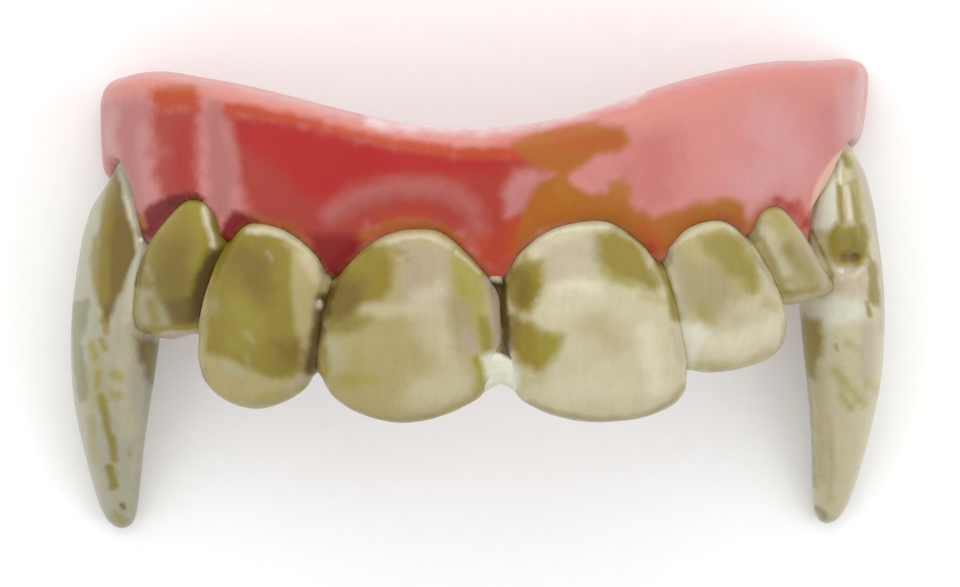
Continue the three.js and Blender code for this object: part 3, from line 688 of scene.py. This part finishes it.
CHARTS["gum_base"] = (
    ("rose", 0.55, 1.52, 1.8, (105,91, 104,69)),
    ("salmon", 0.8, 0.89, 0.76, (98,109, 123,117, 149,123, 187,130, 225,133)),
    ("petal", 0.6, 1.52, 1.4, (180,110, 193,85, 168,69)),
    ("mauve", 0.3, 0.76, 0.63, (218,115, 220,91)),
    ("petal", 0.8, 0.89, 0.63, (231,129, 232,104)),
    ("mauve", 0.85, 0.89, 0, (-245,124, -216,124, -213,104, -215,82, -211,59, -218,45, -232,69,
     -241,85, -245,104)),
    # Painted highlights on the bulge at the left end.
    ("petal", 0.6, 0.51, 0.38, (-237,115, -240,101, -237,90)),
    ("petal", 0.4, 0.51, 0.32, (-218,104, -218,82, -215,59)),
    ("brick", 1, 0.76, 0, (-164,115, -118,106, -55,91, 25,90, 37,85, 42,71, 32,53, 27,34, 12,16,
     4,14, -5,24, -15,37, -29,44, -55,48, -74,42, -86,23, -97,11, -118,34, -150,47, -159,72)),
    ("brick", 0.95, 0.57, 0, (-212,117, -183,118, -182,97, -183,82, -183,61, -207,61, -210,75,
     -210,91, -212,101)),
    ("red", 0.45, 0.76, 0.63, (-193,104, -194,73)),
    ("rose", 0.6, 0.38, 0.32, (-215,89, -204,90)),
    # A pale streak on the root bulge: the gum's dull pink with a painted highlight.
    ("mauve", 0.95, 0.57, 0, (-178,124, -168,124, -164,104, -159,91, -158,72, -160,49, -173,50,
     -177,72, -178,97)),
    ("red", 1, 0.83, 0, (-160,114, -142,111, -118,108, -93,101, -55,94, -17,87, 14,85, 9,78,
     -17,77, -55,75, -79,71, -91,62, -103,57, -119,66, -140,86, -155,96)),
    ("salmon", 0.9, 0.51, 0.51, (-241,127, -226,133, -207,136, -182,132, -156,126, -131,121,
     -105,115)),
    ("salmon", 0.8, 0.38, 0.32, (-93,109, -67,103, -42,99, -10,96, 18,97)),
    ("ember", 0.95, 0.32, 0.32, (-164,118, -143,115, -118,110, -93,104, -67,97, -42,93, -10,89,
     18,89)),
    ("ember", 0.95, 0.44, 0, (-213,130, -185,132, -181,124, -183,116, -207,116, -213,123)),
    ("amber", 0.4, 0.44, 0.38, (-206,129, -189,129)),
    # Painted reflection along the bulge above the left central tooth.
    ("mauve", 0.62, 0.76, 0.57, (-98,50, -83,61, -61,66, -36,67, -18,62, -9,52, -4,39)),
    ("brick", 0.95, 0.51, 0.44, (-72,45, -55,52, -34,51, -22,43)),
    ("ember", 0.4, 0.44, 0.32, (-64,48, -36,50)),
    ("ember", 0.85, 0.38, 0.32, (-88,17, -84,25, -79,33, -70,38, -61,42, -47,43, -29,41, -18,33,
     -9,23, -1,14, 8,12, 15,22, 20,34)),
    ("amber", 0.8, 0.32, 0.25, (-86,30, -76,38, -64,43, -48,46, -29,43, -18,34)),
    ("amber", 0.6, 0.32, 0.25, (-159,50, -142,47, -123,42, -109,30)),
    ("ember", 0.7, 0.7, 0.57, (-3,34, 5,23, 14,34, 18,45)),
    # Painted reflection: a pale patch right of the middle.
    ("petal", 0.5, 0.51, 0, (11,64, 18,78, 30,80, 42,73, 34,63, 27,52, 13,49)),
    ("mauve", 0.3, 0.63, 0, (44,75, 72,85, 90,85, 93,71, 72,67, 57,72)),
    ("ember", 0.7, 0.76, 0.38, (8,91, 28,94)),
    ("amber", 0.97, 0.38, 0, (17,94, 32,103, 48,106, 67,108, 88,106, 91,96, 86,90, 69,87, 61,80,
     51,75, 38,76, 28,83)),
    ("ember", 0.35, 0.63, 0.57, (47,99, 79,97)),
    ("amber", 1, 0.44, 0.32, (49,85, 50,63)),
    ("amber", 1, 0.38, 0, (17,24, 22,49, 27,61, 34,71, 44,75, 58,68, 68,63, 77,64, 79,71, 86,73,
     92,68, 91,59, 97,52, 107,49, 130,56, 153,61, 163,57, 165,42, 149,45, 130,39, 117,30, 109,19,
     99,25, 86,40, 72,45, 47,43, 34,38)),
    ("ochre", 0.5, 0.44, 0.38, (47,66, 51,62)),
    ("ochre", 0.5, 0.32, 0.38, (84,68, 88,63)),
    ("ochre", 0.4, 0.44, 0.38, (136,56, 155,57)),
    ("ember", 0.5, 0.51, 0.44, (101,43, 108,30)),
    ("amber", 0.8, 0.44, 0.32, (160,45, 166,40, 172,48)),
    ("amber", 0.5, 0.51, 0.32, (175,52, 183,57)),
    ("ember", 0.9, 0.32, 0.38, (198,56, 202,45)),
    ("red", 0.9, 0.25, 0.19, (104,31, 107,26)),
    ("red", 0.7, 0.32, 0.13, (148,48, 155,46, 162,42)),
    ("red", 0.95, 0.32, 0.22, (185,59, 190,57, 196,52)),
    # Wine and clot in the recesses, here and in the next five marks: partly the gum's deep red,
    # partly painted shade.
    ("wine", 1, 0.44, 0, (-113,37, -100,38, -88,38, -77,34, -83,23, -90,9, -98,9, -105,19)),
    ("wine", 1, 0.22, 0, (-220,39, -217,53, -210,59, -201,63, -184,64, -178,60, -188,53, -197,49,
     -204,42, -209,34, -215,34)),
    ("clot", 0.45, 0.38, 0.32, (-215,39, -212,47, -206,55, -194,59, -184,60)),
    ("clot", 0.9, 0.13, 0.16, (-201,58, -199,57)),
    ("clot", 0.8, 0.13, 0.13, (-192,59, -190,59)),
    ("wine", 1, 0.25, 0, (-171,30, -167,44, -161,52, -154,52, -145,46, -152,39, -160,31, -165,28)),
    ("umber", 0.8, 0.13, 0.11, (-237,77, -232,67, -225,54, -220,43)),
    ("amber", 0.8, 0.19, 0.19, (-220,50, -217,43)),
    # Painted sheen on the rim's glossy top, where light grazes it.
    ("film", 0.4, 0.51, 0.32, (239,141, 239,120, 237,96)),
    # Painted light: the rim's top, paler where the light from above falls on it.
    ("petal", 0.8, 0.32, 0.25, (-245,123, -241,133, -226,137, -207,140, -182,136, -143,128,
     -105,119, -80,111, -42,103, -4,101, 34,106, 72,117, 110,130, 149,141, 187,147, 241,148)),
    # Painted sheen on the rim's top, here and in the next mark.
    ("film", 0.12, 0.51, 0.19, (-156,130, -118,121, -86,113)),
    ("film", 0.9, 0.57, 0.19, (-74,110, -48,106, -29,106, -4,105, 22,108, 47,114, 72,120, 98,128)),
    ("pith", 1, 0.13, 0, (239,96, 233,94, 226,91, 219,85, 213,76, 208,65, 206,49, 212,49, 217,59,
     222,70, 229,80, 237,91)),
)
CHARTS["web"] = (
    ("chalk", 1, 0.19, 0, (-5,-38, 3,-37, 11,-39, 22,-45, 22,-64, -5,-64)),
    ("cream", 0.5, 0.25, 0.25, (4,-47, 9,-51)),
    ("fawn", 1, 0.19, 0.32, (-1,11, 12,10)),
    ("olive", 0.8, 0.19, 0.19, (3,-34, 7,-35)),
)

# Ridges, grooves and dents: height, softness and radius in millimetres, and the places they
# run through, as in the charts.
RELIEF = {}
RELIEF["fang_right"] = (
    (-0.3, 0.25, 0.25, (227,23, 234,23)),
    (0.14, 0.22, 0.13, (221,17, 225,13, 231,11, 237,14, 241,19)),
    (0.14, 0.19, 0.095, (224,87, 225,66)),
    (0.14, 0.19, 0.13, (230,68, 231,45)),
    (-0.12, 0.19, 0.13, (227,85, 227,45)),
    (-0.12, 0.19, 0.13, (234,70, 238,39)),
)
RELIEF["fang_left"] = (
    (0.14, 0.38, 0.32, (-230,59, -224,45, -221,33, -223,20, -223,2, -227,-17)),
    (-0.15, 0.51, 0.51, (-236,66, -232,34, -237,2)),
)
RELIEF["side_tooth_left"] = (
    (0.16, 0.25, 0.19, (-180,56, -177,45, -173,35, -173,28)),
    (-0.18, 0.51, 0.38, (-174,20, -180,-10)),
)
RELIEF["lateral_incisor_left"] = (
    (0.07, 0.16, 0.095, (-139,26, -136,22)),
    (0.06, 0.19, 0.13, (-152,-26, -148,-32)),
    (0.1, 0.25, 0.13, (-151,39, -140,38, -127,35, -114,28, -104,17)),
)
RELIEF["central_incisor_left"] = (
    (0.1, 0.25, 0.13, (-72,28, -62,32, -52,35, -42,36, -32,34, -23,29)),
    (0.06, 0.32, 0.19, (-19,24, -11,19, -4,12)),
    (-0.06, 0.38, 0.25, (-57,25, -47,26)),
    (0.06, 0.25, 0.095, (-56,20, -47,24)),
)
RELIEF["central_incisor_right"] = (
    (0.1, 0.25, 0.13, (33,35, 47,40, 63,42, 76,42, 88,38, 98,30, 104,20)),
    (0.1, 0.89, 0.51, (46,3, 67,3)),
)
RELIEF["lateral_incisor_right"] = (
    (0.1, 0.25, 0.13, (116,29, 126,35, 139,40, 152,43, 161,40, 169,32, 176,21)),
)
RELIEF["gum_base"] = (
    (0.15, 1.02, 0.38, (-173,120, -169,91, -165,56)),
    (0.12, 0.89, 0.38, (-96,50, -80,62, -55,67, -29,66, -11,53)),
    (0.1, 0.76, 0.38, (-237,117, -237,88)),
    (0.1, 1.02, 0.63, (25,66, 37,73)),
    (0.1, 1.27, 0.89, (174,110, 187,72)),
)

# What each piece is cast in, and the two colours that wash over its side out of the charts.
BASES = {
    "gum_base": ("pink", "pink", "rose"),
    "central_incisor_left": ("bone", "ivory", "bone"),
    "central_incisor_right": ("ivory", "ivory", "bone"),
    "lateral_incisor_left": ("bone", "bone", "olive"),
    "lateral_incisor_right": ("ivory", "ivory", "bone"),
    "side_tooth_left": ("olive", "bone", "olive"),
    "side_tooth_right": ("bone", "ivory", "bone"),
    "fang_left": ("ash", "ash", "bone"),
    "fang_right": ("ivory", "ivory", "ash"),
}
FRONT_TEETH = (
    "side_tooth_left",
    "lateral_incisor_left",
    "central_incisor_left",
    "central_incisor_right",
    "lateral_incisor_right",
    "side_tooth_right",
)
FANGS = ("fang_left", "fang_right")
ARCH = FANGS[:1] + FRONT_TEETH + FANGS[1:]
TOOTH_FINISH = "Cast acrylic teeth, stained and varnished"
# How near the gum a tooth's seam is stained, and how near a tooth the gum's is: full and none.
TOOTH_SEAM = (0.3 * MM, 0.55 * MM)
GUM_SEAM = (0.06 * MM, 0.3 * MM)
# How near the teeth the gum is smoothed least and most, and how near them it takes its marks
# whether the charts show it or not.
GUM_CRISP = (0.4 * MM, 1.3 * MM)
GUM_WRAP = (0.9 * MM, 1.6 * MM)
CRISP_ROUNDS = 8  # near the teeth the gum gets one in so many of its rounds of smoothing
RECAST_ROUNDS = 6  # rounds of smoothing after each new cast of the gum
# The web's rings, from the gum down: millimetres right of the aim and above it in the charts,
# half its width and depth, how far it lies behind the teeth's faces and how far its sides droop.
WEB_RINGS = (
    (0.55, 1.3, 0.35, 0.3, 0.25, 0),
    (0.6, 1.0, 0.45, 0.35, 0.15, 0),
    (0.7, 0.6, 0.42, 0.4, 0.35, 0),
    (0.85, 0.25, 0.42, 0.45, 0.7, 0),
    (1.0, -1.5, 0.4, 0.5, 1.0, 0),
    (1.05, -3.0, 0.45, 0.5, 0.8, 0),
    (1.0, -3.6, 0.8, 0.5, 0.25, 0),
    (0.92, -4.2, 1.15, 0.5, -0.08, 0),
    (0.92, -5.0, 1.25, 0.5, -0.1, 0.1),
    (0.92, -5.5, 1.2, 0.4, -0.04, 0.45),
    (0.92, -5.75, 1.05, 0.25, 0.12, 0.6),
)
WEB_FELT = (0.1, 1.6)  # how far right of the aim the two teeth's faces are felt for
WEB_SIDES = 20
WEB_ROUNDS = 24  # rounds of smoothing
RING_TOLERANCE = 1e-4  # millimetres
# The beads: where in the charts, their radius and their paint.
# The first bead's chalk white is a painted glint, on a small bump between the left fang and the
# side tooth.
BEADS = ((-21.9, 3.35, 0.17, "chalk"), (-10.6, -0.7, 0.22, "fawn"))
BEAD_SHAPE = (1.0, 1.35, 0.6)
BEAD_LUMPS = (1.2, 5)  # the size of a bead's lumps, as a share of its radius, and their seed
BEAD_UNEVEN = 0.25  # by what share of its size a bead is lumpy
# Where a tooth's biting edge is cut flat: from one place of the charts to another.
FLAT_EDGES = {"side_tooth_left": (((-20.8, -3.14), (-18.0, -2.38)),)}


def tree_of_node(name):
    """A CAD node's surface, to be searched."""
    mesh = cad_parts[name].data
    return BVHTree.FromPolygons([v.co for v in mesh.vertices], [p.vertices for p in mesh.polygons])


def trees_of_teeth(names):
    """The surfaces of some finished teeth, to be searched."""
    return [tree_of(bpy.data.objects["acrylic_" + name]) for name in names]


def make_teeth(names, finish, slot):
    """Casts some teeth, each closed against its neighbours' CAD solids, and stains them."""
    sizes = bpy.context.scene.denture_sizes
    for name in names:
        piece = cast_from(name, "acrylic_" + name, sizes.tooth_grain, FLAT_EDGES.get(name, ()))
        place(piece, polished(piece, sizes.tooth_rounds))
        carve(piece, RELIEF.get(name, ()))
        i = ARCH.index(name)
        beside = [tree_of_node(ARCH[k]) for k in (i - 1, i + 1) if 0 <= k < len(ARCH)]
        draw_together(piece, beside, sizes.contact_reach, sizes.bite)
        edit(piece, bpy.ops.mesh.dissolve_degenerate, threshold=sizes.tooth_grain / 4)
        gaps = np.abs(nearest(places(piece), [tree_of_node("gum_base")])[1])
        brush(piece, CHARTS[name], *BASES[name], SEAM_STAIN * (1 - fade(gaps, *TOOTH_SEAM)))
        finish_piece(piece, finish, slot, name)


class DENTURE_OT_front_teeth(bpy.types.Operator):
    """Casts, stains and varnishes the six front teeth"""

    bl_idname = "denture.front_teeth"
    bl_label = "Front teeth"

    def execute(self, context):
        finish = acrylic(
            TOOTH_FINISH,
            roughness=0.34, streaks=0.05, coat=0.15, inner=0.1, inner_radius=(1.0, 0.7, 0.4),
        )
        make_teeth(FRONT_TEETH, finish, "tooth_acrylic")
        return {"FINISHED"}


class DENTURE_OT_web(bpy.types.Operator):
    """Models the thin acrylic that joins the two central teeth: a shallow bridge under the gum, a
    deep groove and a wide web at the biting edge"""

    bl_idname = "denture.web"
    bl_label = "Web between the central teeth"

    def execute(self, context):
        sizes = context.scene.denture_sizes
        centrals = trees_of_teeth(("central_incisor_left", "central_incisor_right"))
        bpy.ops.object.select_all(action="DESELECT")
        top, bottom = WEB_RINGS[0][1], WEB_RINGS[-1][1]
        bpy.ops.mesh.primitive_cylinder_add(
            vertices=WEB_SIDES,
            end_fill_type="TRIFAN",
            radius=1,
            depth=top - bottom,
            location=(0, (top + bottom) / 2, 0),
            rotation=(math.pi / 2, 0, 0),
        )
        web = context.object
        web.name = "acrylic_web"
        bpy.ops.object.transform_apply()
        for _, up, *_ in WEB_RINGS[1:-1]:
            edit(web, bpy.ops.mesh.bisect, plane_co=(0, up, 0), plane_no=(0, 1, 0))
        points = places(web)
        for across, up, half_width, half_depth, sunk, droop in WEB_RINGS:
            ring = np.abs(points[:, 1] - up) < RING_TOLERANCE
            left, right = (seen_at(felt, up, centrals) for felt in WEB_FELT)
            aside = RIGHTWARD * (across - sum(WEB_FELT) / 2)
            middle = (left + right) / 2 + (aside - Vector((0, 0, sunk + half_depth))) * MM
            low = np.abs(points[ring, :1]) * droop * MM
            points[ring] = np.array(middle) + points[ring] * (half_width * MM, 0, half_depth * MM)
            points[ring] -= low * np.array(UPWARD)
        place(web, points)
        edit(web, bpy.ops.mesh.normals_make_consistent)
        modify(web, "REMESH", mode="VOXEL", voxel_size=sizes.tooth_grain / 2)
        place(web, polished(web, WEB_ROUNDS))
        finish_piece(web, bpy.data.materials[TOOTH_FINISH], "tooth_acrylic")
        brush(web, CHARTS["web"], "bark", "bark", "umber")
        return {"FINISHED"}


class DENTURE_OT_beads(bpy.types.Operator):
    """Models the small beads of varnish that dried between the teeth on the left; the first one's
    chalk white stands for a painted glint
    """

    bl_idname = "denture.beads"
    bl_label = "Varnish beads"

    def execute(self, context):
        teeth = trees_of_teeth(FRONT_TEETH + FANGS)
        for i, (across, up, radius, paint) in enumerate(BEADS):
            spot = seen_at(across, up, teeth)
            bpy.ops.object.select_all(action="DESELECT")
            bpy.ops.mesh.primitive_ico_sphere_add(subdivisions=4, radius=radius * MM, location=spot)
            bead = context.object
            bead.name = f"varnish_bead_{i + 1}"
            bpy.ops.object.transform_apply()
            out = places(bead) - np.array(spot)
            share, seed = BEAD_LUMPS
            lumps = uneven(places(bead), radius * share * MM, seed)[:, None]
            place(bead, np.array(spot) + out * BEAD_SHAPE * (1 + BEAD_UNEVEN * lumps))
            brush(bead, (), paint, paint, "cream")
            finish_piece(bead, bpy.data.materials[TOOTH_FINISH], "tooth_acrylic")
        return {"FINISHED"}


class DENTURE_OT_fangs(bpy.types.Operator):
    """Casts, stains and varnishes the two fangs"""

    bl_idname = "denture.fangs"
    bl_label = "Fangs"

    def execute(self, context):
        finish = acrylic(
            "Cast acrylic fangs, stained and varnished",
            roughness=0.32, streaks=0.05, coat=0.2, inner=0.1, inner_radius=(1.0, 0.8, 0.5),
        )
        make_teeth(FANGS, finish, "fang_acrylic")
        return {"FINISHED"}


class DENTURE_OT_gum(bpy.types.Operator):
    """Casts the gum round the finished teeth, paints and varnishes it"""

    bl_idname = "denture.gum"
    bl_label = "Gum"

    def execute(self, context):
        sizes = context.scene.denture_sizes
        teeth = trees_of_teeth(FRONT_TEETH + FANGS)
        piece = cast_from("gum_base", "acrylic_gum", sizes.gum_grain)
        rough = polished(piece, sizes.gum_rounds // CRISP_ROUNDS)
        fine = polished(piece, sizes.gum_rounds)
        _, gaps = nearest(rough, teeth)
        place(piece, rough + (fine - rough) * fade(gaps, *GUM_CRISP)[:, None])
        # The gum is drawn up to the teeth and cast afresh in even faces, twice, and last drawn
        # up without another cast, so that it meets them closely.
        for reach in (sizes.margin_reach, sizes.margin_reach / 2):
            draw_up(piece, teeth, reach, 3 * sizes.bite)
            modify(piece, "REMESH", mode="VOXEL", voxel_size=sizes.gum_grain)
            place(piece, polished(piece, RECAST_ROUNDS))
        draw_up(piece, teeth, sizes.margin_reach / 2, 2 * sizes.bite)
        carve(piece, RELIEF["gum_base"])
        _, gaps = nearest(places(piece), teeth)
        seam = SEAM_STAIN * (1 - fade(gaps, *GUM_SEAM))
        brush(piece, CHARTS["gum_base"], *BASES["gum_base"], seam, 1 - fade(gaps, *GUM_WRAP))
        finish = acrylic(
            "Cast acrylic gum, painted and varnished",
            roughness=0.42, streaks=0.025, coat=0.08, inner=0.08, inner_radius=(1.0, 0.35, 0.25),
        )
        finish_piece(piece, finish, "gum_acrylic", "gum_base")
        return {"FINISHED"}


FLOOR_SIZE = 1.6  # metres
FILL_STRENGTH = 0.70  # of the even light from all sides
# Each softbox: where it stands and its size, in metres, and its power in watts.
SOFTBOXES = {
    "softbox_above": ((-0.06, 0.36, 0.30), 0.50, 1.53),
    "softbox_right": ((0.36, 0.02, 0.30), 0.44, 0.72),
    "softbox_left": ((-0.38, -0.04, 0.26), 0.44, 0.4),
}
SENSOR_WIDTH = 36  # millimetres
LENS = 236.25  # millimetres, which shows 61 mm from side to side at the view's distance
CAMERA_ASIDE = -6 / 15.75 * MM  # how far the picture's middle lies right of the aim


class DENTURE_OT_stage(bpy.types.Operator):
    """Sets the denture on a pale floor under soft light, with the camera at the chart's view"""

    bl_idname = "denture.stage"
    bl_label = "Floor, light and camera"

    def execute(self, context):
        scene = context.scene
        bpy.ops.object.select_all(action="DESELECT")
        bpy.ops.mesh.primitive_plane_add(size=FLOOR_SIZE, location=(0, 0, 0))
        floor = context.object
        floor.name = "floor"
        paper = bpy.data.materials.new("Matt white paper floor")
        paper.use_nodes = True
        paper.node_tree.nodes.clear()
        where = node(paper, "ShaderNodeTexCoord").outputs["Object"]
        # Paper fibres, 1 mm long, tell as the faintest change of tone.
        fibres = noise_at(paper, where, 900.0, 2.0)
        tones = {"Factor": fibres, 6: (0.9, 0.9, 0.895, 1), 7: (0.93, 0.93, 0.93, 1)}
        tone = node(paper, "ShaderNodeMix", tones, data_type="RGBA").outputs[2]
        surface = node(paper, "ShaderNodeBsdfPrincipled", {"Base Color": tone, "Roughness": 0.9})
        node(paper, "ShaderNodeOutputMaterial", {"Surface": surface.outputs["BSDF"]})
        floor.data.materials.append(paper)

        world = bpy.data.worlds.new("Studio")
        world.use_nodes = True
        background = world.node_tree.nodes["Background"]
        background.inputs["Color"].default_value = (1.0, 1.0, 1.0, 1.0)
        background.inputs["Strength"].default_value = FILL_STRENGTH
        scene.world = world
        for name, (spot, size, power) in SOFTBOXES.items():
            light = bpy.data.lights.new(name, "AREA")
            light.shape = "SQUARE"
            light.size = size
            light.energy = power
            lamp = bpy.data.objects.new(name, light)
            scene.collection.objects.link(lamp)
            lamp.location = spot
            lamp.rotation_euler = (AIM - Vector(spot)).to_track_quat("-Z", "Y").to_euler()

        camera = bpy.data.objects.new("camera", bpy.data.cameras.new("camera"))
        scene.collection.objects.link(camera)
        camera.data.sensor_width = SENSOR_WIDTH
        camera.data.lens = LENS
        camera.data.clip_start = 0.01
        camera.data.dof.use_dof = False
        camera.location = EYE + RIGHTWARD * CAMERA_ASIDE
        turn = [[RIGHTWARD[i], UPWARD[i], TO_VIEWER[i]] for i in range(3)]
        camera.rotation_euler = Matrix(turn).to_euler()
        scene.camera = camera
        scene.view_settings.view_transform = "Standard"
        return {"FINISHED"}


class DENTURE_PT_panel(bpy.types.Panel):
    bl_idname = "DENTURE_PT_panel"
    bl_label = "Denture"
    bl_space_type = "VIEW_3D"
    bl_region_type = "UI"
    bl_category = "Denture"

    def draw(self, context):
        for operator in OPERATORS:
            self.layout.operator(operator.bl_idname)
        for group in (context.scene.denture_sizes, context.scene.denture_paints):
            for key in group.bl_rna.properties.keys():
                if key not in ("rna_type", "name"):
                    self.layout.prop(group, key)


OPERATORS = (
    DENTURE_OT_front_teeth,
    DENTURE_OT_fangs,
    DENTURE_OT_web,
    DENTURE_OT_beads,
    DENTURE_OT_gum,
    DENTURE_OT_stage,
)
CLASSES = (DenturePaints, DentureSizes) + OPERATORS + (DENTURE_PT_panel,)


def register():
    for cls in CLASSES:
        bpy.utils.register_class(cls)
    bpy.types.Scene.denture_paints = PointerProperty(type=DenturePaints)
    bpy.types.Scene.denture_sizes = PointerProperty(type=DentureSizes)


def unregister():
    del bpy.types.Scene.denture_paints
    del bpy.types.Scene.denture_sizes
    for cls in reversed(CLASSES):
        bpy.utils.unregister_class(cls)


def main():
    register()
    bpy.ops.denture.front_teeth()
    bpy.ops.denture.fangs()
    bpy.ops.denture.web()
    bpy.ops.denture.beads()
    bpy.ops.denture.gum()
    bpy.ops.denture.stage()


if __name__ == "__main__":
    main()
